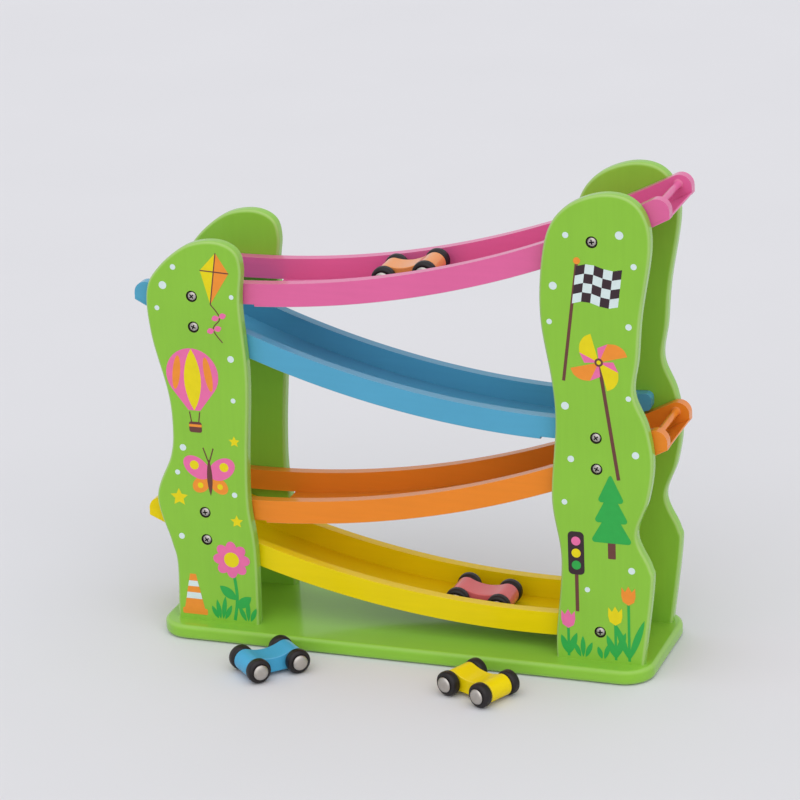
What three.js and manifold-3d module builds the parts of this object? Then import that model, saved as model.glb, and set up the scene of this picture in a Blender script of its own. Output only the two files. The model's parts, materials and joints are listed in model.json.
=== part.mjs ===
// Zig-zag car ramp: four curved tracks between two pairs of wavy uprights on a base plate,
// and four small cars. Millimetres, +Z up, X along the length, -Y towards the front.
// The origin is the middle of the base's underside.
import * as THREE from 'three';
import { mergeVertices } from 'three/addons/utils/BufferGeometryUtils.js';
import Module from 'manifold-3d';

// Base plate
const BASE_T = 10;               // thickness
const BASE_END_MARGIN = 35;      // from the screw line to the end of the plate
const BASE_SIDE_MARGIN = 13;     // from the face of an upright to the long edge
const BASE_CORNER_R = 20;        // corner radius in plan
const BASE_EDGE_R = 3;           // rounding of the rim

// Uprights
const BOARD_T = 9;               // thickness of the uprights
const BOARD_EDGE_R = 2;          // rounding of their edges
const COLUMN_X = 136.5;          // screw line, from the middle of the toy
const TALL_TOP_MARGIN = 31.8;    // tall pair: from the top screw to the crown
const SHORT_TOP_MARGIN = 38.3;   // short pair: from the top screw to the crown
const UPRIGHT_HALF_W = 36;       // nominal half width

// Tracks
const TRACK_W = 60.4;            // over both rails
const ARC_R = 630;               // radius of the rails' top edge
const RAIL_T = 7;                // rail thickness
const RAIL_H = 14.2;             // rail height
const RAIL_EDGE_R = 1;           // rounding of the rail edges
const FLOOR_T = 1.3;             // floor plate under the rails
const FLOOR_END_SET = 0.5;       // floor edge, back from the rails' high end
const START_OVERHANG = 48;       // screw line to the high end of the top track's rails
const HIGH_OVERHANG = 44.5;      // the same at the other tracks
const LOW_OVERHANG = 19;         // screw line to the low end of the rails
const LAST_OVERHANG = 13;        // the same at the lowest track
const EXIT_SET = 2;              // floor edge of the lowest track, back from its rails' low end
const DROP_INSET = 40;           // screw line to the edge where a car drops to the next track
const PINK_LOW_INSET = 12;       // screw line to the lowest point of each arc
const BLUE_LOW_INSET = 16;
const ORANGE_LOW_INSET = 12;
const YELLOW_LOW_INSET = 50;
const HIGH_NOSE_R = 8;           // rounding of the top corner at the high end
const LOW_NOSE_R = 4;            // rounding of the low end
const HEEL_R = 1.2;              // rounding of the lower corner at the high end
const NOSE_H = 11.2;             // height left of a rail's low end above the next track
const TRACK_CLEAR = 0.9;         // between that low end and the next track's rails
const LAST_CLEAR = 11;           // lowest floor plate above the base plate
const BAR_D = 4;                 // cross bar at the high end
const BAR_SET = 9;               // its axis, back from the end of the rails
const BAR_DEPTH = 6;             // its axis, below the rails' top edge
const SEAT_GAP = 0.3;            // between pieces that lie against each other

// Screws
const SCREW_HEAD_D = 7.2;
const SCREW_CROWN = 1;           // crown of the head above the board
const SCREW_SHANK_D = 3;
const SCREW_BITE = 4.5;          // depth of the shank in a rail
const SCREW_DEPTH = 8;           // axis below the rails' top edge
const SCREW_CLEAR = 0.2;         // around head and shank
const RECESS_L = 3.8;            // cross recess: length, width and depth of a slot
const RECESS_W = 0.9;
const RECESS_DEEP = 1;

// Cars
const WHEEL_D = 16.5;
const WHEEL_W = 7;
const TYRE_R = 1.5;              // bevel of the tyre's shoulders
const WHEELBASE = 28.7;
const BODY_W = 18;
const BODY_CLEAR = 1;            // body ends inside the wheel's rim
const BODY_WAIST = 4.3;          // top of the waist above the axles
const BODY_CUT = 1.5;            // cut off the round ends by the flat underside
const BODY_EDGE_R = 1;
const AXLE_D = 3;
const BORE_CLEAR = 0.2;          // around an axle
const SIDE_PLAY = 0.5;           // body to wheel
const HUB_D = 10.4;
const HUB_H = 2;
const ROLL_GAP = 0.3;            // wheel to floor plate
const ORANGE_CAR_ALONG = 126.5;  // up its track from the arc's lowest point
const RED_CAR_ALONG = 41;
const ORANGE_CAR_GAP = 2;        // hub caps to the back rail
const RED_CAR_GAP = 0.9;         // hub caps to the front rail
const BLUE_CAR_X = -77.3;        // along the base, from the middle
const YELLOW_CAR_X = 67.8;
const BLUE_CAR_AHEAD = 32.8;     // in front of the base
const YELLOW_CAR_AHEAD = 34.2;
const BLUE_CAR_TURN = 47;        // heading in degrees
const YELLOW_CAR_TURN = -25.5;

// Steps along curves, and the merging of corners
const ARC_STEPS = 14;
const ROUND_STEPS = 3;
const OUTLINE_STEPS = 64;
const WHEEL_STEPS = 20;
const AXLE_STEPS = 12;
const BODY_STEPS = 7;
const SAME_POINT = 1e-4;         // corners closer than this are one

// Outlines of the uprights: outwards from the screw line as a share of the half width, share of the height
const SHORT_OUTLINE = [
  [0.68, 0], [0.64, 0.141], [0.73, 0.204], [0.95, 0.322], [0.63, 0.435], [0.56, 0.512], [0.61, 0.604],
  [0.86, 0.747], [0.9, 0.859], [0.65, 0.923], [0.1, 0.983], [-0.46, 1], [-0.86, 0.981], [-0.98, 0.933],
  [-0.92, 0.838], [-0.99, 0.653], [-0.89, 0.443], [-0.87, 0.316], [-0.96, 0.196], [-0.94, 0],
];
const TALL_OUTLINE = [
  [0.8, 0], [0.99, 0.173], [0.95, 0.215], [0.71, 0.283], [0.93, 0.361], [1.03, 0.442], [0.93, 0.517],
  [0.7, 0.585], [0.78, 0.661], [0.85, 0.751], [1.04, 0.888], [0.96, 0.956], [0.65, 0.993], [0.14, 0.998],
  [-0.44, 0.971], [-0.8, 0.92], [-0.96, 0.833], [-0.98, 0.727], [-0.8, 0.596], [-0.76, 0.502],
  [-0.86, 0.348], [-0.71, 0.216], [-0.83, 0.056], [-0.84, 0],
];

// The tracks from top to bottom: side of the high end, and where the arc is lowest
const TRACKS = [
  { name: 'pink', colour: 0xdc69a0, high: 1, lowInset: PINK_LOW_INSET, start: START_OVERHANG },
  { name: 'blue', colour: 0x5aa5c8, high: -1, lowInset: BLUE_LOW_INSET },
  { name: 'orange', colour: 0xe8872d, high: 1, lowInset: ORANGE_LOW_INSET },
  { name: 'yellow', colour: 0xdcc800, high: -1, lowInset: YELLOW_LOW_INSET, exit: LAST_OVERHANG },
];

// Cars: on a track at a distance up its arc, to one side, or standing by itself in front of the base
const CARS = [
  {
    name: 'orange_car', colour: 0xeb9650,
    track: 'pink', along: ORANGE_CAR_ALONG, side: 1, gap: ORANGE_CAR_GAP,
  },
  {
    name: 'red_car', colour: 0xd26e73,
    track: 'yellow', along: RED_CAR_ALONG, side: -1, gap: RED_CAR_GAP,
  },
  {
    name: 'blue_car', colour: 0x4ba5cd,
    x: BLUE_CAR_X, ahead: BLUE_CAR_AHEAD, heading: BLUE_CAR_TURN,
  },
  {
    name: 'yellow_car', colour: 0xe1c80f,
    x: YELLOW_CAR_X, ahead: YELLOW_CAR_AHEAD, heading: YELLOW_CAR_TURN,
  },
];

const GREEN = 0x8bc042;
const wasm = await Module();
wasm.setup();

function paint(colour) {
  return new THREE.MeshStandardMaterial({ color: colour, roughness: 0.4, metalness: 0 });
}
const STEEL = new THREE.MeshStandardMaterial({ color: 0xc3beb4, roughness: 0.3, metalness: 1 });
const RUBBER = new THREE.MeshStandardMaterial({ color: 0x2f2a2a, roughness: 0.6, metalness: 0 });

// A closed body from a geometry: shared corners merged, empty triangles dropped, faces turned outwards
function solid(source) {
  const bare = source.clone();
  bare.deleteAttribute('normal');
  bare.deleteAttribute('uv');
  const merged = mergeVertices(bare, SAME_POINT);
  const p = merged.getAttribute('position').array;
  const index = merged.index.array;
  const keep = [];
  let volume = 0;
  for (let i = 0; i < index.length; i += 3) {
    const [a, b, c] = [index[i], index[i + 1], index[i + 2]];
    if (a === b || b === c || a === c) continue;
    keep.push(a, b, c);
    const u = new THREE.Vector3(p[3 * a], p[3 * a + 1], p[3 * a + 2]);
    const v = new THREE.Vector3(p[3 * b], p[3 * b + 1], p[3 * b + 2]);
    const w = new THREE.Vector3(p[3 * c], p[3 * c + 1], p[3 * c + 2]);
    volume += u.dot(v.cross(w));
  }
  if (volume < 0) keep.reverse();
  const mesh = new wasm.Mesh({
    numProp: 3,
    vertProperties: new Float32Array(p),
    triVerts: new Uint32Array(keep),
  });
  return new wasm.Manifold(mesh);
}

function geometryOf(body) {
  const mesh = body.getMesh();
  const out = new THREE.BufferGeometry();
  out.setAttribute('position', new THREE.BufferAttribute(new Float32Array(mesh.vertProperties), 3));
  out.setIndex(new THREE.BufferAttribute(new Uint32Array(mesh.triVerts), 1));
  out.computeVertexNormals();
  return out;
}

function part(name, geometry, material) {
  const mesh = new THREE.Mesh(geometry, material);
  mesh.name = name;
  return mesh;
}

// Rounds the marked corners of an outline; a rounding is limited by the edges beside it
function rounded(corners) {
  const out = [];
  const n = corners.length;
  corners.forEach((corner, i) => {
    if (!corner.r) {
      out.push(new THREE.Vector2(corner.x, corner.z));
      return;
    }
    const here = new THREE.Vector2(corner.x, corner.z);
    const back = new THREE.Vector2(corners[(i + n - 1) % n].x, corners[(i + n - 1) % n].z).sub(here);
    const ahead = new THREE.Vector2(corners[(i + 1) % n].x, corners[(i + 1) % n].z).sub(here);
    const half = Math.acos(back.clone().normalize().dot(ahead.clone().normalize())) / 2;
    const reach = Math.min(corner.r / Math.tan(half), 0.8 * back.length(), 0.8 * ahead.length());
    const r = reach * Math.tan(half);
    const middle = back.clone().normalize().add(ahead.clone().normalize()).normalize();
    const centre = here.clone().addScaledVector(middle, r / Math.sin(half));
    const first = here.clone().addScaledVector(back.normalize(), reach).sub(centre);
    const last = here.clone().addScaledVector(ahead.normalize(), reach).sub(centre);
    const turn = Math.atan2(first.x * last.y - first.y * last.x, first.dot(last));
    for (let k = 0; k <= ROUND_STEPS; k += 1) {
      out.push(first.clone().rotateAround(new THREE.Vector2(), (turn * k) / ROUND_STEPS).add(centre));
    }
  });
  return out;
}

// A board from an outline in X and Z, its thickness along Y from y0 on, with rounded edges
function board(outline, y0, thickness, edge, steps) {
  const plate = new THREE.ExtrudeGeometry(new THREE.Shape(outline), {
    depth: thickness - 2 * edge,
    bevelEnabled: edge > 0,
    bevelThickness: edge,
    bevelSize: edge,
    bevelOffset: -edge,
    bevelSegments: steps,
  });
  plate.translate(0, 0, edge);
  plate.rotateX(Math.PI / 2);
  plate.translate(0, y0 + thickness, 0);
  return plate;
}

// Layout of the tracks, from the lowest one up
const trackHalf = TRACK_W / 2;
const innerHalf = trackHalf - RAIL_T;
const boardInner = trackHalf + SEAT_GAP;
const boardOuter = boardInner + BOARD_T;
const floorR = ARC_R + RAIL_H + SEAT_GAP;

function arcZ(track, r, x) {
  return track.z - Math.sqrt(r * r - (x - track.x) * (x - track.x));
}

TRACKS.forEach((track) => {
  track.x = -track.high * (COLUMN_X - track.lowInset);
  track.highX = track.high * (COLUMN_X + (track.start ?? HIGH_OVERHANG));
  track.lowX = -track.high * (COLUMN_X + (track.exit ?? LOW_OVERHANG));
  track.floorLowX = -track.high * (COLUMN_X - DROP_INSET);
  if (track.exit) track.floorLowX = track.lowX + track.high * EXIT_SET;
  track.floorHighX = track.highX - track.high * FLOOR_END_SET;
});
for (let i = TRACKS.length - 1; i >= 0; i -= 1) {
  const track = TRACKS[i];
  const next = TRACKS[i + 1];
  track.z = 0;
  if (next) {
    const rest = arcZ(next, ARC_R - TRACK_CLEAR, track.lowX);
    track.z = rest + NOSE_H - arcZ(track, ARC_R, track.lowX);
  } else {
    track.z = BASE_T + LAST_CLEAR + floorR + FLOOR_T;
  }
}

function screwZ(track, side) {
  return arcZ(track, ARC_R + SCREW_DEPTH, side * COLUMN_X);
}

// Outline of a rail around its arc's centre: the low end rests clear above the next track
function railOutline(track, next) {
  const corners = [];
  const span = track.highX - track.lowX;
  for (let k = 0; k <= ARC_STEPS; k += 1) {
    const x = track.lowX + (span * k) / ARC_STEPS;
    const r = k === 0 ? LOW_NOSE_R : HIGH_NOSE_R;
    corners.push({ x, z: arcZ(track, ARC_R, x), r: k === 0 || k === ARC_STEPS ? r : 0 });
  }
  for (let k = ARC_STEPS; k >= 0; k -= 1) {
    const x = track.lowX + (span * k) / ARC_STEPS;
    const own = arcZ(track, ARC_R + RAIL_H, x);
    const z = next ? Math.max(own, arcZ(next, ARC_R - TRACK_CLEAR, x)) : own;
    const r = k === 0 ? LOW_NOSE_R : HEEL_R;
    corners.push({ x, z, r: k === 0 || k === ARC_STEPS ? r : 0 });
  }
  return rounded(corners).map((p) => new THREE.Vector2(p.x - track.x, p.y - track.z));
}

function floorOutline(track) {
  const points = [];
  const span = track.floorHighX - track.floorLowX;
  for (let k = 0; k <= ARC_STEPS; k += 1) {
    const x = track.floorLowX + (span * k) / ARC_STEPS;
    points.push(new THREE.Vector2(x - track.x, arcZ(track, floorR, x) - track.z));
  }
  for (let k = ARC_STEPS; k >= 0; k -= 1) {
    const x = track.floorLowX + (span * k) / ARC_STEPS;
    points.push(new THREE.Vector2(x - track.x, arcZ(track, floorR + FLOOR_T, x) - track.z));
  }
  return points;
}

// Screw along +Y with the board's face at y = 0, or its hole when it is made with a clearance
function screwBody(clear) {
  const head = SCREW_HEAD_D / 2 + clear;
  const shank = SCREW_SHANK_D / 2 + clear;
  const tip = BOARD_T + SEAT_GAP + SCREW_BITE + clear;
  const crown = SCREW_CROWN + 2 * clear;
  const cone = head - shank;
  const rim = clear > 0 ? [[head, -crown * 0.8], [head, clear]] : [[head, 0]];
  const profile = [
    [0, -crown], [head * 0.6, -crown * 0.8], ...rim,
    [shank, cone + clear], [shank, tip], [0, tip],
  ];
  const points = profile.map(([r, y]) => new THREE.Vector2(r, y));
  const body = solid(new THREE.LatheGeometry(points, AXLE_STEPS));
  if (clear > 0) return body;
  const deep = 2 * RECESS_DEEP;
  const slot = solid(new THREE.BoxGeometry(RECESS_L, deep, RECESS_W).translate(0, -SCREW_CROWN, 0));
  const cross = solid(new THREE.BoxGeometry(RECESS_W, deep, RECESS_L).translate(0, -SCREW_CROWN, 0));
  return body.subtract(slot).subtract(cross);
}
const screwGeometry = geometryOf(screwBody(0));
const screwHole = screwBody(SCREW_CLEAR);

const toy = new THREE.Group();

// Base plate
const baseHalfX = COLUMN_X + BASE_END_MARGIN;
const baseHalfY = boardOuter + BASE_SIDE_MARGIN;
const plan = rounded([[1, 1], [-1, 1], [-1, -1], [1, -1]].map(([u, v]) => (
  { x: u * baseHalfX, z: v * baseHalfY, r: BASE_CORNER_R })));
const basePlate = new THREE.ExtrudeGeometry(new THREE.Shape(plan), {
  depth: BASE_T - 2 * BASE_EDGE_R,
  bevelThickness: BASE_EDGE_R,
  bevelSize: BASE_EDGE_R,
  bevelOffset: -BASE_EDGE_R,
  bevelSegments: 2,
});
basePlate.translate(0, 0, BASE_EDGE_R);
toy.add(part('base_plate', geometryOf(solid(basePlate)), paint(GREEN)));

// Uprights: the drawn outline as one smooth closed curve with a flat foot
function uprightOutline(drawn, height, side) {
  const reach = side * UPRIGHT_HALF_W;
  const points = drawn.map(([out, share]) => new THREE.Vector2(reach * out, share * height));
  return new THREE.SplineCurve(points).getPoints(OUTLINE_STEPS);
}
const [pink] = TRACKS;
const sides = [
  { word: 'left', side: -1, drawn: SHORT_OUTLINE, height: screwZ(pink, -1) + SHORT_TOP_MARGIN - BASE_T },
  { word: 'right', side: 1, drawn: TALL_OUTLINE, height: screwZ(pink, 1) + TALL_TOP_MARGIN - BASE_T },
];
sides.forEach(({ word, side, drawn, height }) => {
  const outline = uprightOutline(drawn, height - SEAT_GAP, side);
  const blank = solid(board(outline, 0, BOARD_T, BOARD_EDGE_R, 1));
  let drilled = blank;
  TRACKS.forEach((track) => {
    const hole = screwHole.translate([0, 0, screwZ(track, side) - BASE_T - SEAT_GAP]);
    drilled = drilled.subtract(hole);
  });
  const front = part(`upright_front_${word}`, geometryOf(drilled), paint(GREEN));
  front.position.set(side * COLUMN_X, -boardOuter, BASE_T + SEAT_GAP);
  const back = part(`upright_back_${word}`, geometryOf(blank), paint(GREEN));
  back.position.set(side * COLUMN_X, boardInner, BASE_T + SEAT_GAP);
  toy.add(front, back);
});

// Tracks, each in a group at the centre of its arc
const trackGroups = {};
TRACKS.forEach((track, i) => {
  const group = new THREE.Group();
  group.position.set(track.x, 0, track.z);
  const outline = railOutline(track, TRACKS[i + 1]);
  const blank = solid(board(outline, 0, RAIL_T, RAIL_EDGE_R, 1));
  let drilled = blank;
  [-1, 1].forEach((side) => {
    const hole = screwHole.translate([
      side * COLUMN_X - track.x,
      -(BOARD_T + SEAT_GAP),
      screwZ(track, side) - track.z,
    ]);
    drilled = drilled.subtract(hole);
    const screw = part(`screw_${track.name}_${side < 0 ? 'left' : 'right'}`, screwGeometry, STEEL);
    screw.position.set(side * COLUMN_X, -boardOuter, screwZ(track, side));
    toy.add(screw);
  });
  const front = part(`${track.name}_rail_front`, geometryOf(drilled), paint(track.colour));
  front.position.y = -trackHalf;
  const back = part(`${track.name}_rail_back`, geometryOf(blank), paint(track.colour));
  back.position.y = trackHalf - RAIL_T;
  const floor = board(floorOutline(track), -trackHalf, TRACK_W, 0, 1);
  const bar = new THREE.CylinderGeometry(BAR_D / 2, BAR_D / 2, 2 * (innerHalf - SEAT_GAP), AXLE_STEPS);
  const barMesh = part(`${track.name}_end_bar`, geometryOf(solid(bar)), paint(track.colour));
  const barX = track.highX - track.high * BAR_SET;
  barMesh.position.set(barX - track.x, 0, arcZ(track, ARC_R + BAR_DEPTH, barX) - track.z);
  const floorMesh = part(`${track.name}_floor`, geometryOf(solid(floor)), paint(track.colour));
  group.add(front, back, floorMesh, barMesh);
  toy.add(group);
  trackGroups[track.name] = { track, group };
});

// Car pieces around the middle of the wheelbase at axle height, X forwards
const wheelR = WHEEL_D / 2;
const wheelY = BODY_W / 2 + SIDE_PLAY + WHEEL_W / 2;
const hubFace = wheelY + WHEEL_W / 2 + SEAT_GAP;
const bore = AXLE_D / 2 + BORE_CLEAR;

// Round ends, a hollow between them on top and a flat underside
function bodySolid() {
  const half = WHEELBASE / 2;
  const end = wheelR - BODY_CLEAR;
  const hollow = (half * half + BODY_WAIST * BODY_WAIST - end * end) / (2 * (end - BODY_WAIST));
  const lean = Math.atan2(BODY_WAIST + hollow, half);
  const dip = Math.asin((end - BODY_CUT) / end);
  const shape = new THREE.Shape();
  shape.absarc(half, 0, end, -dip, Math.PI - lean, false);
  shape.absarc(0, BODY_WAIST + hollow, hollow, -lean, lean - Math.PI, true);
  shape.absarc(-half, 0, end, lean, Math.PI + dip, false);
  const outline = shape.getPoints(BODY_STEPS);
  let body = solid(board(outline, -BODY_W / 2, BODY_W, BODY_EDGE_R, 1));
  [-half, half].forEach((x) => {
    const drill = new THREE.CylinderGeometry(bore, bore, 2 * BODY_W, AXLE_STEPS).translate(x, 0, 0);
    body = body.subtract(solid(drill));
  });
  return body;
}

function wheelSolid() {
  const w = WHEEL_W / 2;
  const shoulder = wheelR - TYRE_R;
  const profile = [
    [bore, -w], [shoulder, -w], [wheelR, -w + TYRE_R],
    [wheelR, w - TYRE_R], [shoulder, w], [bore, w], [bore, -w],
  ];
  return solid(new THREE.LatheGeometry(profile.map(([r, y]) => new THREE.Vector2(r, y)), WHEEL_STEPS));
}

function axleSolid() {
  const hub = HUB_D / 2;
  const dome = [[hub, 0], [hub * 0.9, HUB_H * 0.45], [hub * 0.55, HUB_H * 0.86], [0, HUB_H]];
  const upper = [[AXLE_D / 2, hubFace], ...dome.map(([r, h]) => [r, hubFace + h])];
  const lower = upper.map(([r, y]) => [r, -y]).reverse();
  const profile = [...lower, ...upper].map(([r, y]) => new THREE.Vector2(r, y));
  return solid(new THREE.LatheGeometry(profile, AXLE_STEPS));
}

const bodyGeometry = geometryOf(bodySolid());
const wheelGeometry = geometryOf(wheelSolid());
const axleGeometry = geometryOf(axleSolid());

function car(name, colour) {
  const group = new THREE.Group();
  group.add(part(`${name}_body`, bodyGeometry, paint(colour)));
  [['front', 1], ['rear', -1]].forEach(([end, u]) => {
    const axle = part(`${name}_${end}_axle`, axleGeometry, STEEL);
    axle.position.x = (u * WHEELBASE) / 2;
    group.add(axle);
    [['left', 1], ['right', -1]].forEach(([hand, v]) => {
      const wheel = part(`${name}_wheel_${end}_${hand}`, wheelGeometry, RUBBER);
      wheel.position.set((u * WHEELBASE) / 2, v * wheelY, 0);
      group.add(wheel);
    });
  });
  return group;
}

CARS.forEach((spec) => {
  const group = car(spec.name, spec.colour);
  if (spec.track) {
    // both wheelsets stand on the curved floor, so the car's middle lies on the chord between them
    const { track, group: home } = trackGroups[spec.track];
    const axleR = floorR - wheelR - ROLL_GAP;
    const middleR = Math.sqrt(axleR * axleR - (WHEELBASE * WHEELBASE) / 4);
    const turn = (track.high * spec.along) / axleR;
    const play = TRACK_W / 2 - RAIL_T - hubFace - HUB_H;
    const pivot = new THREE.Group();
    pivot.rotation.y = -turn;
    group.position.set(0, spec.side * (play - spec.gap), -middleR);
    pivot.add(group);
    home.add(pivot);
  } else {
    group.position.set(spec.x, -(baseHalfY + spec.ahead), wheelR);
    group.rotation.z = THREE.MathUtils.degToRad(spec.heading);
    toy.add(group);
  }
});

export default toy;
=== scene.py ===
import json
import math

import bmesh
import bpy
from mathutils import Matrix, Vector


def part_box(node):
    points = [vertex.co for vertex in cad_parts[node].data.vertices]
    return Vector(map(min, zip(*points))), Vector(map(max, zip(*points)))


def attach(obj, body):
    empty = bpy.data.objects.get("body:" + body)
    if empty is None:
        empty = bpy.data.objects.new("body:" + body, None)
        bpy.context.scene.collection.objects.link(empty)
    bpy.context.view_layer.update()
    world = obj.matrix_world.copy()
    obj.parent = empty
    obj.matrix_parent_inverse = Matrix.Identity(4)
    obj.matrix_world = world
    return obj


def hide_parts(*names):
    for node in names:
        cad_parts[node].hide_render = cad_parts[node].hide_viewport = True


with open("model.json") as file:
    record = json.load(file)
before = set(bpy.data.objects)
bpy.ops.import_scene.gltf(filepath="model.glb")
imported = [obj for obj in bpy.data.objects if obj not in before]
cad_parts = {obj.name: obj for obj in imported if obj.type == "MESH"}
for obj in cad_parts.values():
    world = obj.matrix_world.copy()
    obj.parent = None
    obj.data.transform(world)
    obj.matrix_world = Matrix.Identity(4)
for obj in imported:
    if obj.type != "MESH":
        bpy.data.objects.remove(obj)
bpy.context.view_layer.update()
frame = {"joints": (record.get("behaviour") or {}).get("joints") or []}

MM = 0.001

# Sizes in millimetres, as in the solids
BASE_CORNER_R = 20
BASE_EDGE_R = 3
ARC_R = 630
RAIL_H = 14.2
FLOOR_T = 1.3
SEAT_GAP = 0.3
TRACK_CLEAR = 0.9
TRACK_HALF = 30.2
RAIL_T = 7
BOARD_FACE = 39.5
BOARD_T = 9
SCREW_LINE = 136.5
UPRIGHT_HALF_W = 36
WHEELBASE = 28.7
BODY_W = 18
BODY_CLEAR = 1
BODY_WAIST = 4.3
BODY_CUT = 1.5
WHEEL_R = 8.25
WHEEL_Y = 13
FLOOR_R = ARC_R + RAIL_H + SEAT_GAP

# Roundings of the visible pieces, in millimetres
BOARD_EDGE_R = 2.2
LOW_NOSE_R = 4
HIGH_NOSE_R = 8
RAIL_EDGE_R = 1.1
NOSING_R = 0.9
PLATE_EDGE_R = 0.4
PLATE_END_R = 1.2
BODY_EDGE_R = 0.9
BODY_CORNER_R = 1.2

# Drilled holes for screws, as depth and radius, and how far the screws below are sunk
BASE_DRILL = 2.2, 4.2
BOARD_DRILL = 1.9, 3.9
UNDER_SUNK = 0.6

# Ink: its step from level to level, between plates of one level, and its root in the board
INK_STEP = 0.04
INK_APART = 0.006
INK_ROOT = 0.2

# Steps along curves
ARC_STEPS = 20
TRACK_STEPS = 60
BOARD_STEPS = 12
OVAL_STEPS = 28

# Outlines of the uprights: share of the half width outwards from the screw line, share of the height
SHORT_OUTLINE = [
    (0.68, 0), (0.64, 0.141), (0.73, 0.204), (0.95, 0.322), (0.63, 0.435), (0.56, 0.512), (0.61, 0.604),
    (0.86, 0.747), (0.9, 0.859), (0.65, 0.923), (0.1, 0.983), (-0.46, 1), (-0.86, 0.981), (-0.98, 0.933),
    (-0.92, 0.838), (-0.99, 0.653), (-0.89, 0.443), (-0.87, 0.316), (-0.96, 0.196), (-0.94, 0),
]
TALL_OUTLINE = [
    (0.8, 0), (0.99, 0.173), (0.95, 0.215), (0.71, 0.283), (0.93, 0.361), (1.03, 0.442), (0.93, 0.517),
    (0.7, 0.585), (0.78, 0.661), (0.85, 0.751), (1.04, 0.888), (0.96, 0.956), (0.65, 0.993),
    (0.14, 0.998), (-0.44, 0.971), (-0.8, 0.92), (-0.96, 0.833), (-0.98, 0.727), (-0.8, 0.596),
    (-0.76, 0.502), (-0.86, 0.348), (-0.71, 0.216), (-0.83, 0.056), (-0.84, 0),
]


class Track:
    """A curved track: the middle of its arc and the ends of its rails and floor plate along X."""

    def __init__(self, name, middle, low, high, floor_low):
        self.name = name
        self.x, self.z = middle
        self.low, self.high = low, high
        self.floor_low = floor_low
        self.side = 1 if high > low else -1

    def height(self, r, x):
        return self.z - math.sqrt(r * r - (x - self.x) ** 2)


TRACKS = [
    Track("pink", (-124.5, 878.532), -155.5, 184.5, -96.5),
    Track("blue", (120.5, 803.419), 155.5, -181, 96.5),
    Track("orange", (-124.5, 726.545), -155.5, 181, -96.5),
    Track("yellow", (86.5, 666.8), 149.5, -181, 147.5),
]
# Each car's colour and how far its lacquer shines
CAR_PAINTS = {
    "orange_car": ((232, 150, 84), 0.9),
    "red_car": ((222, 106, 110), 0.9),
    "blue_car": ((70, 164, 206), 0.4),
    "yellow_car": ((232, 206, 4), 0.2),
}


# Finishes

def linear(r, g, b):
    """A colour read as 0 to 255, as the shader wants it."""
    return tuple(
        c / 3294.6 if c <= 10.31 else ((c / 255 + 0.055) / 1.055) ** 2.4 for c in (r, g, b)
    )


class Value:
    """A socket of a finish. Arithmetic on it adds Math nodes."""

    def __init__(self, finish, socket):
        self.finish = finish
        self.socket = socket

    def sum(self, operation, a, b):
        return self.finish.node("ShaderNodeMath", {"operation": operation}, {0: a, 1: b})

    def __add__(self, other):
        return self.sum("ADD", self, other)

    def __rsub__(self, other):
        return self.sum("SUBTRACT", other, self)

    def __mul__(self, other):
        return self.sum("MULTIPLY", self, other)


class Finish:
    """A material made of nodes around one Principled shader."""

    def __init__(self, name, **constants):
        self.material = bpy.data.materials.new(name)
        self.material.use_nodes = True
        self.tree = self.material.node_tree
        self.shader = self.tree.nodes["Principled BSDF"]
        for key, value in constants.items():
            self.shader.inputs[key.replace("_", " ")].default_value = value

    def node(self, kind, settings=None, inputs=None, output=0):
        made = self.tree.nodes.new(kind)
        for key, value in (settings or {}).items():
            if key == "stops":
                ramp = made.color_ramp
                while len(ramp.elements) < len(value):
                    ramp.elements.new(0.5)
                for element, (place, colour) in zip(ramp.elements, value):
                    element.position = place
                    element.color = (*colour, 1)
            else:
                setattr(made, key, value)
        for key, value in (inputs or {}).items():
            self.feed(made.inputs[key], value)
        return Value(self, made.outputs[output])

    def feed(self, socket, value):
        if isinstance(value, Value):
            self.tree.links.new(value.socket, socket)
        else:
            socket.default_value = value

    def noise(self, scale, detail, stretch=(1, 1, 1)):
        spot = self.node("ShaderNodeTexCoord", output="Object")
        spot = self.node("ShaderNodeMapping", {}, {"Vector": spot, "Scale": stretch})
        return self.node("ShaderNodeTexNoise", {}, {"Vector": spot, "Scale": scale, "Detail": detail})

    def mix(self, share, a, b):
        a, b = (c if isinstance(c, Value) else (*c, 1) for c in (a, b))
        return self.node("ShaderNodeMix", {"data_type": "RGBA"}, {0: share, 6: a, 7: b}, 2)

    def rounding(self, axis):
        """Where the surface turns from a board's face to its side: 1 half way round the edge. It masks
        the painted highlight on rounded edges.
        """
        normal = self.node("ShaderNodeTexCoord", output="Normal")
        facing = self.node(
            "ShaderNodeVectorMath", {"operation": "DOT_PRODUCT"}, {0: normal, 1: axis}, "Value")
        square = facing * facing
        return square * (1 - square) * 4

    def bump(self, height, distance, strength):
        return self.node(
            "ShaderNodeBump", {}, {"Height": height, "Distance": distance, "Strength": strength})

    def set(self, **inputs):
        for key, value in inputs.items():
            self.feed(self.shader.inputs[key.replace("_", " ")], value)
        return self.material


# A pale tint for the painted highlight on rounded edges, partly thin paint over pale wood
PALE_RIM_HIGHLIGHT_AND_WOOD = linear(246, 238, 214)


def shade(colour, k):
    return tuple(min(1, c * k) for c in colour)


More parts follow.
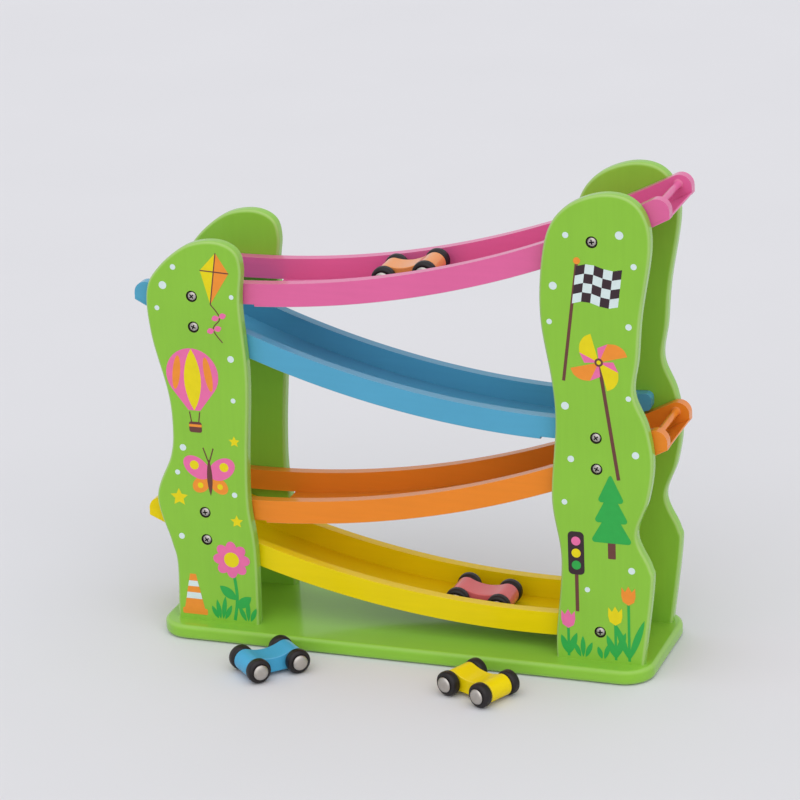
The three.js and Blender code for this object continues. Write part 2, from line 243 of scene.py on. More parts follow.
def painted(name, colour, grain, axis=(0, 1, 0), rim_highlight_and_wear=0.5, shine=0.95):
    """Lacquered paint on wood: faint fibres, rounded edges made paler as painted highlight and partly
    thin paint, and a lacquer that shines edge on.
    """
    finish = Finish(name, Coat_IOR=1.7, Coat_Roughness=0.12, Specular_IOR_Level=0.12)
    edge_on = finish.node("ShaderNodeLayerWeight", {}, {"Blend": 0.5}, "Facing")
    cloud = finish.noise(26, 3)
    fibre = finish.noise(420, 4, grain)
    spray = finish.noise(1500, 1)
    tone = cloud * 0.6 + fibre * 0.4
    base = finish.mix(tone, shade(colour, 0.9), shade(colour, 1.1))
    # Painted highlight, partly thin paint: the colour turns towards a pale tint where the surface rounds
    # an edge
    rim_highlight_and_wear_share = finish.rounding(axis) * (cloud * 0.8 + 0.6) * rim_highlight_and_wear
    base = finish.mix(rim_highlight_and_wear_share, base, tuple(0.6 * c + 0.34 * w for c, w in zip(colour, PALE_RIM_HIGHLIGHT_AND_WOOD)))
    relief = fibre * 0.7 + spray * 0.3
    return finish.set(
        Base_Color=base,
        Coat_Weight=edge_on * shine,
        Roughness=cloud * 0.12 + fibre * 0.1 + 0.31,
        Normal=finish.bump(relief, 0.00006, 0.5),
    )


UPRIGHT_GRAIN = (1, 1, 0.06)
RAIL_GRAIN = (0.06, 1, 1)
GREEN = linear(137, 192, 62)
green_board = painted("green_board_paint", GREEN, UPRIGHT_GRAIN)
# The base's top rim gets a weak painted highlight
green_base = painted("green_base_paint", GREEN, RAIL_GRAIN, (0, 0, 1), 0.2)
# Each track's rounded edges get a painted highlight of their own strength
track_paint = {
    "pink": painted("pink_track_paint", linear(220, 102, 156), RAIL_GRAIN, rim_highlight_and_wear=0.85),
    "blue": painted("blue_track_paint", linear(82, 161, 196), RAIL_GRAIN, rim_highlight_and_wear=0.85),
    "orange": painted("orange_track_paint", linear(233, 134, 38), RAIL_GRAIN, rim_highlight_and_wear=0.75),
    "yellow": painted("yellow_track_paint", linear(232, 206, 4), RAIL_GRAIN, rim_highlight_and_wear=0.15, shine=0.5),
}


def rubber():
    finish = Finish("black_tyre", Specular_IOR_Level=0.35)
    worn = finish.noise(160, 4)
    fine = finish.noise(2600, 2)
    base = finish.mix(worn, linear(20, 16, 17), linear(36, 30, 31))
    return finish.set(
        Base_Color=base, Roughness=worn * 0.2 + 0.36, Normal=finish.bump(fine, 0.00003, 0.6))


def nickel():
    finish = Finish("nickel", Metallic=1.0)
    spots = finish.noise(240, 3)
    brushed = finish.noise(1800, 2, (1, 1, 0.1))
    base = finish.mix(spots, linear(176, 170, 163), linear(202, 197, 190))
    return finish.set(
        Base_Color=base, Roughness=spots * 0.16 + 0.36, Normal=finish.bump(brushed, 0.00001, 0.4))


# Bare wood inside a drilled hole, darkened as painted shade
def bare_hole_shaded():
    finish = Finish("drilled_hole")
    hole_tone = finish.noise(900, 3)
    base = finish.mix(hole_tone, linear(38, 32, 24), linear(70, 58, 42))
    return finish.set(Base_Color=base, Roughness=hole_tone * 0.2 + 0.7)


def printed(name, colour):
    """Screen-printed ink, a little uneven."""
    finish = Finish(name, Specular_IOR_Level=0.3)
    patchy = finish.noise(180, 3)
    base = finish.mix(patchy, shade(colour, 0.92), shade(colour, 1.08))
    return finish.set(Base_Color=base, Roughness=patchy * 0.14 + 0.36)


def recess():
    """Painted shade for the inside of a driver's cross: a dark metal colour, a little uneven."""
    finish = Finish("cross_recess", Metallic=0.6)
    cross_shade_tone = finish.noise(700, 3)
    base = finish.mix(cross_shade_tone, linear(40, 34, 36), linear(72, 66, 66))
    return finish.set(Base_Color=base, Roughness=cross_shade_tone * 0.2 + 0.5)


tyre_black = rubber()
cross_painted_shade = recess()
nickel_plate = nickel()
hole_wall_shade = bare_hole_shaded()


# Shaping

def smooth_line(points, steps):
    """A smooth curve through the drawn points."""
    last = len(points) - 1
    line = []
    for i in range(last):
        a, b, c, d = (Vector(points[k]) for k in (max(i - 1, 0), i, i + 1, min(i + 2, last)))
        u, v = (c - a) / 2, (d - b) / 2
        for k in range(steps):
            t = k / steps
            line.append(
                (2 * b - 2 * c + u + v) * t ** 3 + (3 * c - 3 * b - 2 * u - v) * t ** 2 + u * t + b)
    return line + [Vector(points[last])]


def rounded(corners, steps=8):
    """An outline whose corners (x, z, radius) are turned into arcs."""
    line = []
    for i, (x, z, radius) in enumerate(corners):
        here = Vector((x, z))
        if not radius:
            line.append(here)
            continue
        back = Vector(corners[i - 1][:2]) - here
        ahead = Vector(corners[(i + 1) % len(corners)][:2]) - here
        half = back.angle(ahead) / 2
        reach = min(radius / math.tan(half), 0.9 * back.length, 0.9 * ahead.length)
        centre = here + (back.normalized() + ahead.normalized()).normalized() * reach / math.cos(half)
        first = here + back.normalized() * reach - centre
        last = here + ahead.normalized() * reach - centre
        turn = first.angle_signed(last)
        line += [centre + Matrix.Rotation(-turn * k / steps, 2) @ first for k in range(steps + 1)]
    return line


def plate(outline, y0, y1):
    """A board between y0 and y1 with an outline in X and Z."""
    bm = bmesh.new()
    face = bm.faces.new([bm.verts.new((x, y0, z)) for x, z in outline])
    drawn = bmesh.ops.extrude_face_region(bm, geom=[face])["geom"]
    bmesh.ops.translate(
        bm, vec=(0, y1 - y0, 0), verts=[g for g in drawn if isinstance(g, bmesh.types.BMVert)])
    bmesh.ops.recalc_face_normals(bm, faces=bm.faces[:])
    return bm


def soften(bm, edges, radius, segments):
    bmesh.ops.bevel(
        bm, geom=edges, offset=radius, offset_type="OFFSET", affect="EDGES", segments=segments,
        profile=0.5, material=-1, clamp_overlap=True)


def rims(bm, above=-1e9):
    """The edges round both faces of a board, above a height."""
    return [
        e for e in bm.edges
        if abs(e.verts[0].co.y - e.verts[1].co.y) < 1e-6 and max(v.co.z for v in e.verts) > above]


def turned(profile, steps, ring=False):
    """A profile of (radius, y) turned once round the Y axis."""
    bm = bmesh.new()
    verts = [bm.verts.new((r, y, 0)) for r, y in profile]
    edges = [bm.edges.new(pair) for pair in zip(verts, verts[1:])]
    if ring:
        edges.append(bm.edges.new((verts[-1], verts[0])))
    bmesh.ops.spin(
        bm, geom=verts + edges, cent=(0, 0, 0), axis=(0, 1, 0), angle=2 * math.pi, steps=steps,
        use_merge=True)
    bmesh.ops.remove_doubles(bm, verts=bm.verts[:], dist=1e-4)
    bmesh.ops.recalc_face_normals(bm, faces=bm.faces[:])
    return bm


def moved(bm, place):
    bmesh.ops.transform(bm, matrix=place, verts=bm.verts[:])
    return bm


def loose(bm, name, finishes):
    """A mesh object in metres, its place in its mesh."""
    mesh = bpy.data.meshes.new(name)
    bmesh.ops.scale(bm, vec=(MM, MM, MM), verts=bm.verts[:])
    bm.to_mesh(mesh)
    bm.free()
    for finish in finishes:
        mesh.materials.append(finish)
    made = bpy.data.objects.new(name, mesh)
    bpy.context.scene.collection.objects.link(made)
    return made


def cut(target, cutter):
    """Takes a cutter out of a piece and removes the cutter."""
    change = target.modifiers.new("cut", "BOOLEAN")
    change.operation = "DIFFERENCE"
    change.solver = "EXACT"
    change.object = cutter
    graph = bpy.context.evaluated_depsgraph_get()
    made = bpy.data.meshes.new_from_object(target.evaluated_get(graph))
    target.modifiers.clear()
    target.data = made
    bpy.data.objects.remove(cutter)
    return target


def settle(made, body, slot, *nodes, sharp=42):
    """Shades a piece, hangs it on its body and lets it stand for its solids."""
    made.data.shade_smooth()
    made.data.set_sharp_from_angle(angle=math.radians(sharp))
    even = made.modifiers.new("even_shading", "WEIGHTED_NORMAL")
    even.keep_sharp = True
    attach(made, body)
    if nodes:
        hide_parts(*nodes)
    return made


def box_mm(node):
    low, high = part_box(node)
    return low / MM, high / MM


def joined(parts):
    """Several bmeshes as one."""
    whole = bmesh.new()
    for bm in parts:
        mesh = bpy.data.meshes.new("part")
        bm.to_mesh(mesh)
        whole.from_mesh(mesh)
        bm.free()
        bpy.data.meshes.remove(mesh)
    return whole


# Base plate with countersunk holes underneath
base_low, base_high = box_mm("base_plate")


def base_plate():
    bm = bmesh.new()
    size = base_high - base_low
    bmesh.ops.create_cube(
        bm, size=1, matrix=Matrix.Translation((base_low + base_high) / 2) @ Matrix.Diagonal((*size, 1)))
    posts = [e for e in bm.edges if abs(e.verts[0].co.z - e.verts[1].co.z) > 1]
    soften(bm, posts, BASE_CORNER_R, 14)
    level = [e for e in bm.edges if abs(e.verts[0].co.z - e.verts[1].co.z) < 1e-6]
    soften(bm, level, BASE_EDGE_R, 5)
    return loose(bm, "base_board", [green_base, hole_wall_shade])


UNDER_SCREWS = [
    (side * (SCREW_LINE + out), depth * (BOARD_FACE - BOARD_T / 2))
    for side in (-1, 1) for out in (-20, 16) for depth in (-1, 1)]
SUNK = Matrix.Rotation(math.radians(90), 4, "X")


def hole(deep, wide):
    """The drill's shape: a straight mouth at y = 0 and a cone below it."""
    tip = deep + wide * 0.5
    return turned([(0, -2), (wide, -2), (wide, deep), (wide * 0.4, tip), (0, tip)], 36)


base = base_plate()
drills = joined([
    moved(hole(*BASE_DRILL), Matrix.Translation((x, y, base_low.z)) @ SUNK) for x, y in UNDER_SCREWS])
# The drilled faces take the hole colour: bare wood darkened as painted shade
for face in drills.faces:
    face.material_index = 1
base = cut(base, loose(drills, "base_drills", [green_base, hole_wall_shade]))
settle(base, "track", "green_wood", "base_plate")


# Uprights, drilled for the screws
def upright(node, drawn, side, front):
    low, high = box_mm(node)
    foot = base_high.z
    line = [
        (side * (SCREW_LINE + out * UPRIGHT_HALF_W), low.z + share * (high.z - low.z) if share else foot)
        for out, share in smooth_line(drawn, BOARD_STEPS)]
    y = -BOARD_FACE if front else BOARD_FACE - BOARD_T
    bm = plate(line, y, y + BOARD_T)
    soften(bm, rims(bm, foot + 0.01), BOARD_EDGE_R, 5)
    return loose(bm, node + "_board", [green_board, hole_wall_shade])


screw_spots = {}
for track in TRACKS:
    for word in ("left", "right"):
        low, high = box_mm(f"screw_{track.name}_{word}")
        screw_spots[track.name, word] = ((low.x + high.x) / 2, (low.z + high.z) / 2)

TO_FRONT = Matrix.Identity(4)
TO_BACK = Matrix.Rotation(math.pi, 4, "Z")
for word, drawn, side in (("left", SHORT_OUTLINE, -1), ("right", TALL_OUTLINE, 1)):
    for end, facing in (("front", TO_FRONT), ("back", TO_BACK)):
        node = f"upright_{end}_{word}"
        board = upright(node, drawn, side, end == "front")
        face_y = -BOARD_FACE if end == "front" else BOARD_FACE
        drills = joined([
            moved(hole(*BOARD_DRILL), Matrix.Translation((x, face_y, z)) @ facing)
            for x, z in (screw_spots[track.name, word] for track in TRACKS)])
        # The drilled faces take the hole colour: bare wood darkened as painted shade
        for face in drills.faces:
            face.material_index = 1
        board = cut(board, loose(drills, "board_drills", [green_board, hole_wall_shade]))
        settle(board, "track", "green_wood", node)


# Pictures printed on the front boards
INKS = {
    "yellow": (226, 208, 4),
    "orange": (234, 142, 46),
    "pink": (228, 108, 162),
    "green": (44, 166, 72),
    "brown": (104, 60, 54),
    "black": (54, 36, 44),
    "pale": (210, 226, 226),
}
inks = [printed(f"{word}_ink", linear(*colour)) for word, colour in INKS.items()]


class Printing:
    """Thin closed plates of ink on a front board, drawn across and up from its screw line's foot."""

    def __init__(self, side):
        self.x = side * SCREW_LINE
        self.plates = []

    def add(self, ink, level, *outlines):
        for i, outline in enumerate(outlines):
            line = [(self.x + u, base_high.z + h) for u, h in outline]
            lift = INK_STEP + INK_STEP * level + INK_APART * (i % 6)
            bm = plate(line, -BOARD_FACE - lift, -BOARD_FACE + INK_ROOT)
            for face in bm.faces:
                face.material_index = list(INKS).index(ink)
            self.plates.append(bm)

    def lay(self, name):
        settle(loose(joined(self.plates), name, inks), "track", "green_wood")


def turned_flat(u, h, degrees, ring):
    """An outline turned about its origin and put in its place."""
    c, s = math.cos(math.radians(degrees)), math.sin(math.radians(degrees))
    return [(u + x * c - z * s, h + x * s + z * c) for x, z in ring]


def oval(u, h, a, b=None, tilt=0):
    angles = [2 * math.pi * k / OVAL_STEPS for k in range(OVAL_STEPS)]
    return turned_flat(u, h, tilt, [(a * math.cos(t), (b or a) * math.sin(t)) for t in angles])


def leaf(u, h, tilt, long, wide):
    """A shape with two points that grows from a place."""
    edge = [(long * k / 10, wide / 2 * math.sin(math.pi * k / 10) ** 0.8) for k in range(11)]
    return turned_flat(u, h, tilt, edge + [(x, -z) for x, z in edge[-2:0:-1]])


def star(u, h, r):
    """Five tips."""
    spokes = [(r * (1 if k % 2 == 0 else 0.48), math.pi * k / 5) for k in range(10)]
    return [(u + d * math.sin(t), h + d * math.cos(t)) for d, t in spokes]


def strip(width, *points):
    """A line of even width."""
    line = [Vector(p) for p in points]
    left, right = [], []
    for i, here in enumerate(line):
        along = (line[min(i + 1, len(line) - 1)] - line[max(i - 1, 0)]).normalized() * width / 2
        left.append(here + Vector((-along.y, along.x)))
        right.append(here - Vector((-along.y, along.x)))
    return left + right[::-1]


def bar(u0, h0, u1, h1, r=1):
    return rounded([(u0, h0, r), (u1, h0, r), (u1, h1, r), (u0, h1, r)], 5)


def around(u, h, count, reach, long, wide):
    """Ovals in a ring."""
    turns = [360 * k / count for k in range(count)]
    return [
        oval(u + reach * math.cos(math.radians(t)), h + reach * math.sin(math.radians(t)), long, wide, t)
        for t in turns]


def grass(u, h, reaches):
    """Blades that fan out from a tuft."""
    count = len(reaches)
    return [
        leaf(u + 1.6 * (k - count / 2), h, 125 - 70 * (k + 0.5) / count, r, 3.4)
        for k, r in enumerate(reaches)]


def flag(column, row):
    """A corner in a waving flag's chequers."""
    return -10.5 + 6 * column - 0.8 * row, 270 - 6.2 * row + 1.8 * math.sin(1.2 * column)


picture = Printing(-1)
# A kite and its tail
picture.add("yellow", 1, [(18.5, 261.5), (7, 249), (13, 226)])
picture.add("orange", 1, [(18.5, 261.5), (13, 226), (27, 248)])
picture.add("brown", 2, strip(0.8, (18.5, 261.5), (13, 226)), strip(0.8, (7, 249), (27, 248)))
picture.add("brown", 0, strip(0.8, *smooth_line([(13, 226), (19, 217), (14, 209), (20, 200)], 10)))
for u, h in ((18.4, 217.6), (14.6, 208.6)):
    picture.add("pink", 2, leaf(u, h, 20, 5.5, 4), leaf(u, h, 200, 5.5, 4))
# A balloon
dome = [(math.cos(math.radians(t)), math.sin(math.radians(t))) for t in range(-35, 216, 10)]
dome = [(-3 + 18.5 * c, 176 + 18.5 * s) for c, s in dome]
picture.add("pink", 1, [*dome, (-7.2, 151), (1.2, 151)])
picture.add("yellow", 2, leaf(-3, 151, 90, 43.2, 12))
picture.add("orange", 2, oval(-14.2, 177, 2.7, 12, -8), oval(8.2, 177, 2.7, 12, 8))
picture.add("brown", 1, strip(0.8, (-6.6, 150), (-5.6, 143)), strip(0.8, (0.6, 150), (-0.4, 143)))
picture.add("brown", 2, bar(-7.5, 135.5, 1.5, 143, 1.6))
picture.add("orange", 3, bar(-7.5, 139.4, 1.5, 141.2, 0.3))
# A butterfly
both = (-1, 1)
picture.add("orange", 1, *(oval(5 + 6.4 * way, 98.6, 7, 5.2, -40 * way) for way in both))
picture.add("pink", 2, *(oval(5 + 9 * way, 110.6, 10.4, 7, 35 * way) for way in both))
picture.add("yellow", 3, *(oval(5 + 10.6 * way, 112.2, 3.2) for way in both))
picture.add("yellow", 3, *(oval(5 + 7 * way, 98, 2) for way in both))
picture.add("brown", 3, *(strip(0.8, (5, 114), (5 + 3.6 * way, 125)) for way in both))
picture.add("brown", 4, leaf(5, 91, 90, 26, 3.8))
# A cone
picture.add("orange", 1, [(-19, 8), (-4.5, 8), (-9.6, 33), (-13.9, 33)], bar(-20.6, 3.6, -2.6, 8))
picture.add("pale", 2, [(-17.5, 15), (-6, 15), (-6.9, 19.5), (-16.6, 19.5)])
picture.add("pale", 2, [(-15.7, 24), (-7.8, 24), (-8.7, 28), (-14.9, 28)])
# A flower and grass
picture.add("green", 1, strip(2.2, *smooth_line([(17, 2), (19.5, 20), (17, 44)], 6)))
picture.add("green", 2, leaf(18.8, 11, 40, 14, 7), leaf(19.2, 17, 142, 15, 7))
picture.add("pink", 3, *around(17, 46, 8, 8, 5.2, 3.9))
picture.add("yellow", 4, oval(17, 46, 5.4))
picture.add("green", 1, *grass(8.4, 2, (10, 14, 17, 12)), *grass(27.6, 2, (12, 16, 11)))
picture.add("yellow", 1, star(-18, 88, 6.5), star(24, 131, 4), star(22.5, 74, 4.6))
picture.add("pale", 1, *(oval(*spot) for spot in (
    (-12, 250, 1.9), (-20, 237, 2.7), (-25, 221, 1.7), (28, 232, 1.6), (25, 189, 2.3), (-18, 106, 1.8),
    (22, 93, 1.9), (-13, 124, 2.3), (-18, 60, 2.1), (25, 160, 1.7))))
picture.lay("left_print")

picture = Printing(1)
# A chequered flag on a pole
picture.add("brown", 0, strip(2.1, (-20.5, 193), (-10.2, 272)))
picture.add("orange", 2, oval(-10, 273.6, 2.3))
picture.add("pale", 1, [flag(c, 0) for c in range(6)] + [flag(c, 4) for c in range(5, -1, -1)])
picture.add("black", 2, *(
    [flag(c, r), flag(c + 1, r), flag(c + 1, r + 1), flag(c, r + 1)]
    for c in range(5) for r in range(4) if (c + r) % 2 == 0))
# A pinwheel
picture.add("brown", 0, strip(2.4, (3, 207), (14.5, 128)))
for k in range(4):
    *rim, fold = [
        turned_flat(3, 207, 15 + 90 * k + t, [(d, 0)])[0]
        for d, t in ((19.5, 0), (19, 15), (17, 32), (14, 50), (9.6, 80))]
    picture.add("yellow" if k % 2 else "orange", 1, [(3, 207), *smooth_line(rim, 6)])
    picture.add("pink", 2, [(3, 207), rim[-1], fold])
picture.add("brown", 3, oval(3, 207, 2.8))
picture.add("yellow", 4, oval(3, 207, 1.4))
# A fir tree
picture.add("brown", 0, bar(6.4, 73, 11.6, 88, 0.6))
for level, apex, foot, half in ((1, 109, 84, 14.5), (2, 121, 98, 12), (3, 132, 112, 9.4)):
    picture.add("green", level, rounded([(9 - half, foot, 2), (9 + half, foot, 2), (9, apex, 1)], 4))
# Lights on a post
picture.add("brown", 1, strip(2.4, (-15, 34), (-15, 64)))
picture.add("black", 2, bar(-20.4, 60, -9.6, 90, 3))
for ink, h in (("pink", 83.4), ("yellow", 75), ("green", 66.6)):
    picture.add(ink, 3, oval(-15, h, 3.1))
# Tulips
for u, h, ink in ((19.5, 44, "orange"), (10.4, 29, "yellow"), (-21.5, 24, "pink")):
    leaves = leaf(u, 3, 70, 0.7 * h, 4.6), leaf(u, 3, 110, 0.6 * h, 4.6)
    picture.add("green", 1, strip(1.8, (u, 2), (u, h)), *leaves)
    picture.add(ink, 2, [
        (u, h - 2.4), (u + 3.8, h), (u + 4.8, h + 4), (u + 4.6, h + 10), (u + 2.2, h + 7), (u, h + 11),
        (u - 2.2, h + 7), (u - 4.6, h + 10), (u - 4.8, h + 4), (u - 3.8, h)])
picture.add("green", 1, *grass(-11, 2, (11, 15, 12)), *grass(2.6, 2, (9, 12)))
picture.add("pale", 1, *(oval(*spot) for spot in (
    (-17, 290, 2), (18, 292, 2.7), (27, 272, 2), (-26, 256, 2.6), (-29, 232, 1.8), (23, 232, 2.1),
    (-20, 176, 2.6), (22, 184, 1.8), (-17, 140, 2.2), (26, 146, 2.4), (-22, 110, 1.9), (22, 66, 2.3),
    (-8, 50, 1.8))))
picture.lay("right_print")


# Screws: a domed head with a cross recess, sunk in its hole
HEAD = [(0, -0.35), (1.2, -0.28), (2.1, -0.06), (2.75, 0.32), (3.05, 0.8), (3.0, 1.2), (2.4, 1.5)]
SHANK = [(1.5, 3.0), (1.5, 8.2), (1.2, 9.2), (0, 10.2)]


def cross_cutter(place):
    bits = []
    for turn in (0, math.pi / 2):
        bm = bmesh.new()
        bmesh.ops.create_cube(
            bm, size=1, matrix=Matrix.Rotation(turn, 4, "Y") @ Matrix.Diagonal((4.5, 2.8, 1.15, 1)))
        for v in bm.verts:
            if v.co.y > 0:
                v.co.x *= 0.5
                v.co.z *= 0.5
        # The cutter's faces carry the painted shade of the cross recess
        for face in bm.faces:
            face.material_index = 1
        bits.append(moved(bm, place))
    return bits


def screw(name, spots):
    """Screws with their heads' faces at the given places."""
    bodies = [moved(turned(HEAD + SHANK, 32), place) for place in spots]
    made = loose(joined(bodies), name, [nickel_plate, cross_painted_shade])
    for place_set in (0, 1):
        bits = joined([cross_cutter(place)[place_set] for place in spots])
        made = cut(made, loose(bits, "driver_bits", [nickel_plate, cross_painted_shade]))
    return made


turn = 0.3
for (name, word), (x, z) in screw_spots.items():
    turn += 0.55
    node = f"screw_{name}_{word}"
    spot = Matrix.Translation((x, -BOARD_FACE, z)) @ Matrix.Rotation(turn, 4, "Y")
    settle(screw(node + "_head", [spot]), "track", "nickel", node, sharp=35)

back_spots = []
for x, z in screw_spots.values():
    turn += 0.7
    back_spots.append(Matrix.Translation((x, BOARD_FACE, z)) @ TO_BACK @ Matrix.Rotation(turn, 4, "Y"))
settle(screw("back_screws", back_spots), "track", "nickel", sharp=35)
under_spots = []
for x, y in UNDER_SCREWS:
    turn += 0.7
    under_spots.append(
        Matrix.Translation((x, y, base_low.z + UNDER_SUNK)) @ SUNK @ Matrix.Rotation(turn, 4, "Y"))
settle(screw("base_screws", under_spots), "track", "nickel", sharp=35)


# Tracks: two rails on a curved floor plate, and a bar across the high end
def steps_between(a, b, count, keep):
    """Places from a to b that keep a distance from both ends."""
    inner = [a + (b - a) * k / count for k in range(1, count)]
    return [a, *[x for x in inner if min(abs(x - a), abs(x - b)) > keep], b]


def rail_outline(track, below):
    corners = []
    places = steps_between(track.low, track.high, TRACK_STEPS, 13)
    for x in places:
        radius = {track.low: LOW_NOSE_R, track.high: HIGH_NOSE_R}.get(x, 0)
        corners.append((x, track.height(ARC_R, x), radius))
    for x in reversed(places):
        radius = {track.low: LOW_NOSE_R}.get(x, 0)
        z = track.height(ARC_R + RAIL_H, x)
        if below:
            z = max(z, below.height(ARC_R - TRACK_CLEAR, x))
        corners.append((x, z, radius))
    return rounded(corners)


def free_rims(bm, track):
    """A rail's rims without the lower ones, which the floor plate covers."""
    def covered(v):
        radius = math.hypot(v.co.x - track.x, v.co.z - track.z)
        return radius > ARC_R + RAIL_H - 0.1 and (v.co.x - track.floor_low) * track.side > -1
    return [e for e in rims(bm) if not all(covered(v) for v in e.verts)]


def floor_outline(track):
    places = steps_between(track.floor_low, track.high, TRACK_STEPS, 0)
    top = [(x, track.height(ARC_R + RAIL_H, x)) for x in places]
    return top + [(x, track.height(FLOOR_R + FLOOR_T, x)) for x in reversed(places)]


def floor_plate(track):
    """The plate with a rounded nosing at both ends, between the rails, and soft lower edges."""
    bm = plate(floor_outline(track), -TRACK_HALF, TRACK_HALF)
    inner = TRACK_HALF - RAIL_T
    for y in (-inner, inner):
        bmesh.ops.bisect_plane(
            bm, geom=bm.verts[:] + bm.edges[:] + bm.faces[:], plane_co=(0, y, 0), plane_no=(0, 1, 0))
    nosing, lower = [], []
    for e in bm.edges:
        along_y = abs(e.verts[0].co.x - e.verts[1].co.x) < 1e-3
        at_end = min(abs(e.verts[0].co.x - track.floor_low), abs(e.verts[0].co.x - track.high)) < 0.01
        radius = [math.hypot(v.co.x - track.x, v.co.z - track.z) for v in e.verts]
        if along_y and at_end and abs(radius[0] - radius[1]) < 0.1:
            between = max(abs(v.co.y) for v in e.verts) < inner + 0.1
            if radius[0] > FLOOR_R + FLOOR_T - 0.3:
                lower.append(e)
            elif between:
                nosing.append(e)
        elif min(radius) > FLOOR_R + FLOOR_T - 0.3 and abs(e.verts[0].co.y) > inner + 1 and not along_y:
            lower.append(e)
    soften(bm, nosing, NOSING_R, 4)
    ends = [e for e in lower if e.is_valid and abs(e.verts[0].co.x - e.verts[1].co.x) < 1e-3]
    soften(bm, [e for e in lower if e.is_valid and e not in ends], PLATE_EDGE_R, 3)
    soften(bm, [e for e in ends if e.is_valid], PLATE_END_R, 4)
    return bm


# Half of the bar, as (radius, place along it): it widens where it meets a rail
BAR = [(0, -23.3), (3.3, -23.3), (2.95, -22.4), (2.68, -21.2), (2.48, -19.6), (2.36, -17.6), (2.3, -15)]
for i, track in enumerate(TRACKS):
    below = TRACKS[i + 1] if i + 1 < len(TRACKS) else None
    paint = track_paint[track.name]
    slot = track.name + "_wood"
    outline = rail_outline(track, below)
    for end, y in (("front", -TRACK_HALF), ("back", TRACK_HALF - RAIL_T)):
        node = f"{track.name}_rail_{end}"
        bm = plate(outline, y, y + RAIL_T)
        soften(bm, free_rims(bm, track), RAIL_EDGE_R, 4)
        settle(loose(bm, node + "_bent", [paint]), "track", slot, node)
    node = f"{track.name}_floor"
    settle(loose(floor_plate(track), node + "_plate", [paint]), "track", slot, node)
    node = f"{track.name}_end_bar"
    low, high = box_mm(node)
    profile = BAR + [(r, -y) for r, y in reversed(BAR)]
    bm = moved(turned(profile, 32), Matrix.Translation((low + high) / 2))
    settle(loose(bm, node + "_dowel", [paint]), "track", slot, node)


# Cars
def body_outline():
    """Round ends, a hollow between them on top and a flat underside with softened corners."""
    half, end, corner = WHEELBASE / 2, WHEEL_R - BODY_CLEAR, BODY_CORNER_R
    drop = end - BODY_CUT
    hollow = (half * half + BODY_WAIST * BODY_WAIST - end * end) / (2 * (end - BODY_WAIST))
    lean = math.atan2(BODY_WAIST + hollow, half)
    dip = math.asin((drop - corner) / (end - corner))
    reach = half + (end - corner) * math.cos(dip)
    line = []
    for x, z, r, a, b in (
        (reach, corner - drop, corner, -math.pi / 2, -dip),
        (half, 0, end, -dip, math.pi - lean),
        (0, BODY_WAIST + hollow, hollow, -lean, lean - math.pi),
        (-half, 0, end, lean, math.pi + dip),
        (-reach, corner - drop, corner, math.pi + dip, 1.5 * math.pi),
    ):
        turns = [a + (b - a) * k / ARC_STEPS for k in range(ARC_STEPS)]
        line += [(x + r * math.cos(t), z + r * math.sin(t)) for t in turns]
    return line + [(-reach, -drop)]


joint_place = {j["name"]: Vector(j["pos_m"]) / MM for j in frame["joints"] if "pos_m" in j}


def car_place(car):
    front, rear = (joint_place[f"{car}_{end}_spin"] for end in ("front", "rear"))
    ahead = (front - rear).normalized()
    left = Vector((0, 0, 1)).cross(ahead).normalized()
    turn = Matrix((ahead, left, ahead.cross(left))).transposed().to_4x4()
    return Matrix.Translation((front + rear) / 2) @ turn


# Halves of a tyre and of a pin with its caps, as (radius, place along the axle)
TYRE = [
    (1.7, -2.8), (5.1, -2.8), (5.5, -3.4), (6, -3.5), (6.7, -3.42), (7.4, -3.05), (7.93, -2.45),
    (8.2, -1.6), (WHEEL_R, -0.8)]
CAP = [
    (0, 18.55), (1.8, 18.52), (3.2, 18.38), (4.2, 18.08), (4.85, 17.62), (5.15, 17.1), (5.2, 16.85),
    (4.9, 16.8), (1.5, 16.8)]
for car, (colour, shine) in CAR_PAINTS.items():
    place = car_place(car)
    # A faint painted highlight, partly thin paint, lies on the body's rounded edges
    paint = painted(car + "_paint", linear(*colour), (0.3, 1, 1), place.col[1].to_3d(), 0.2, shine)
    bm = plate(body_outline(), -BODY_W / 2, BODY_W / 2)
    soften(bm, rims(bm), BODY_EDGE_R, 4)
    body = loose(moved(bm, place), car + "_body_block", [paint])
    settle(body, car, car + "_wood", car + "_body")
    for end, u in (("front", 1), ("rear", -1)):
        wheelset = f"{car}_{end}_wheelset"
        middle = place @ Matrix.Translation((u * WHEELBASE / 2, 0, 0))
        node = f"{car}_{end}_axle"
        profile = CAP + [(r, -y) for r, y in reversed(CAP)]
        bm = moved(turned(profile, 40), middle)
        settle(loose(bm, node + "_pin", [nickel_plate]), wheelset, "nickel", node)
        for hand, v in (("left", 1), ("right", -1)):
            node = f"{car}_wheel_{end}_{hand}"
            profile = TYRE + [(r, -y) for r, y in reversed(TYRE)]
            bm = turned(profile, 48, ring=True)
            bm = moved(bm, middle @ Matrix.Translation((0, v * WHEEL_Y, 0)))
            settle(loose(bm, node + "_tyre", [tyre_black]), wheelset, "tyre_black", node)


# Floor, light and camera
FILL = 0.72


def stage_floor():
    bm = bmesh.new()
    bmesh.ops.create_grid(
        bm, x_segments=1, y_segments=1, size=9000, matrix=Matrix.Translation((0, 0, -0.2)))
    finish = Finish("pale_floor", Specular_IOR_Level=0.2)
    soft = finish.noise(6, 2)
    base = finish.mix(soft, linear(216, 216, 221), linear(219, 219, 224))
    made = loose(bm, "floor", [finish.set(Base_Color=base, Roughness=soft * 0.05 + 0.7)])


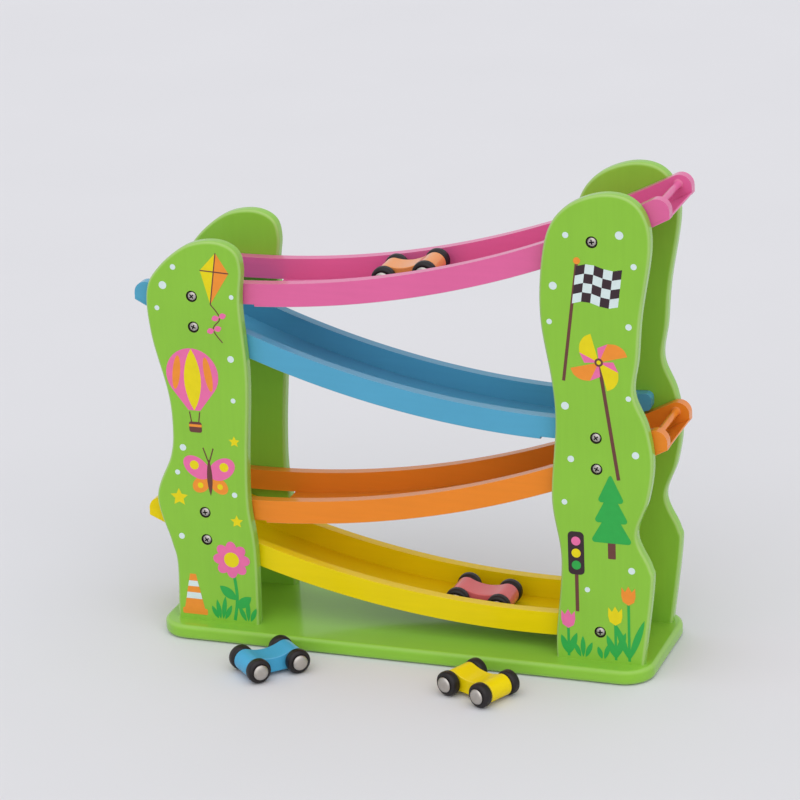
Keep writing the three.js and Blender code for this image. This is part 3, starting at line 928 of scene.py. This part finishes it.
def studio():
    """A pale backdrop for what is seen and reflected, and an even white light on the toy."""
    world = bpy.data.worlds.new("studio")
    bpy.context.scene.world = world
    world.use_nodes = True
    nodes, links = world.node_tree.nodes, world.node_tree.links
    nodes.clear()
    either = nodes.new("ShaderNodeMixShader")
    for place, colour, strength in ((1, (1, 1, 1), FILL), (2, linear(221, 221, 226), 1.0)):
        light = nodes.new("ShaderNodeBackground")
        light.inputs["Color"].default_value = (*colour, 1)
        light.inputs["Strength"].default_value = strength
        links.new(light.outputs[0], either.inputs[place])
    rays = nodes.new("ShaderNodeLightPath")
    share = rays.outputs["Is Camera Ray"]
    for word in ("Is Glossy Ray", "Is Transmission Ray"):
        most = nodes.new("ShaderNodeMath")
        most.operation = "MAXIMUM"
        links.new(share, most.inputs[0])
        links.new(rays.outputs[word], most.inputs[1])
        share = most.outputs[0]
    links.new(share, either.inputs[0])
    out = nodes.new("ShaderNodeOutputWorld")
    links.new(either.outputs[0], out.inputs["Surface"])


def softbox(name, toward, spread, power):
    """A broad even light from a direction."""
    data = bpy.data.lights.new(name, "SUN")
    data.angle = math.radians(spread)
    data.energy = power
    made = bpy.data.objects.new(name, data)
    made.rotation_euler = Vector(toward).to_track_quat("Z", "Y").to_euler()
    bpy.context.scene.collection.objects.link(made)


stage_floor()
studio()
softbox("top_light", (0.15, -0.4, 1), 85, 0.9)
softbox("front_light", (0.42, -1, 0.4), 90, 0.71)

YAW, PITCH, ROLL = (math.radians(a) for a in (19.9, 21.18, -2.38))
DISTANCE = 2439.3
aim = Vector((0.4, -4.5, 126.6)) * MM
ahead = Vector((-math.sin(YAW) * math.cos(PITCH), math.cos(YAW) * math.cos(PITCH), -math.sin(PITCH)))
right = Vector((math.cos(YAW), math.sin(YAW), 0))
up = right.cross(ahead)
tilt_right = right * math.cos(ROLL) + up * math.sin(ROLL)
tilt_up = up * math.cos(ROLL) - right * math.sin(ROLL)
lens = bpy.data.cameras.new("camera")
lens.sensor_width = 36
lens.lens = 166.41
lens.shift_x = -0.0175
lens.shift_y = 0.0725
lens.clip_end = 50
camera = bpy.data.objects.new("camera", lens)
camera.matrix_world = (
    Matrix.Translation(aim - ahead * DISTANCE * MM)
    @ Matrix((tilt_right, tilt_up, -ahead)).transposed().to_4x4())
bpy.context.scene.collection.objects.link(camera)
bpy.context.scene.camera = camera
bpy.context.scene.view_settings.view_transform = "Standard"
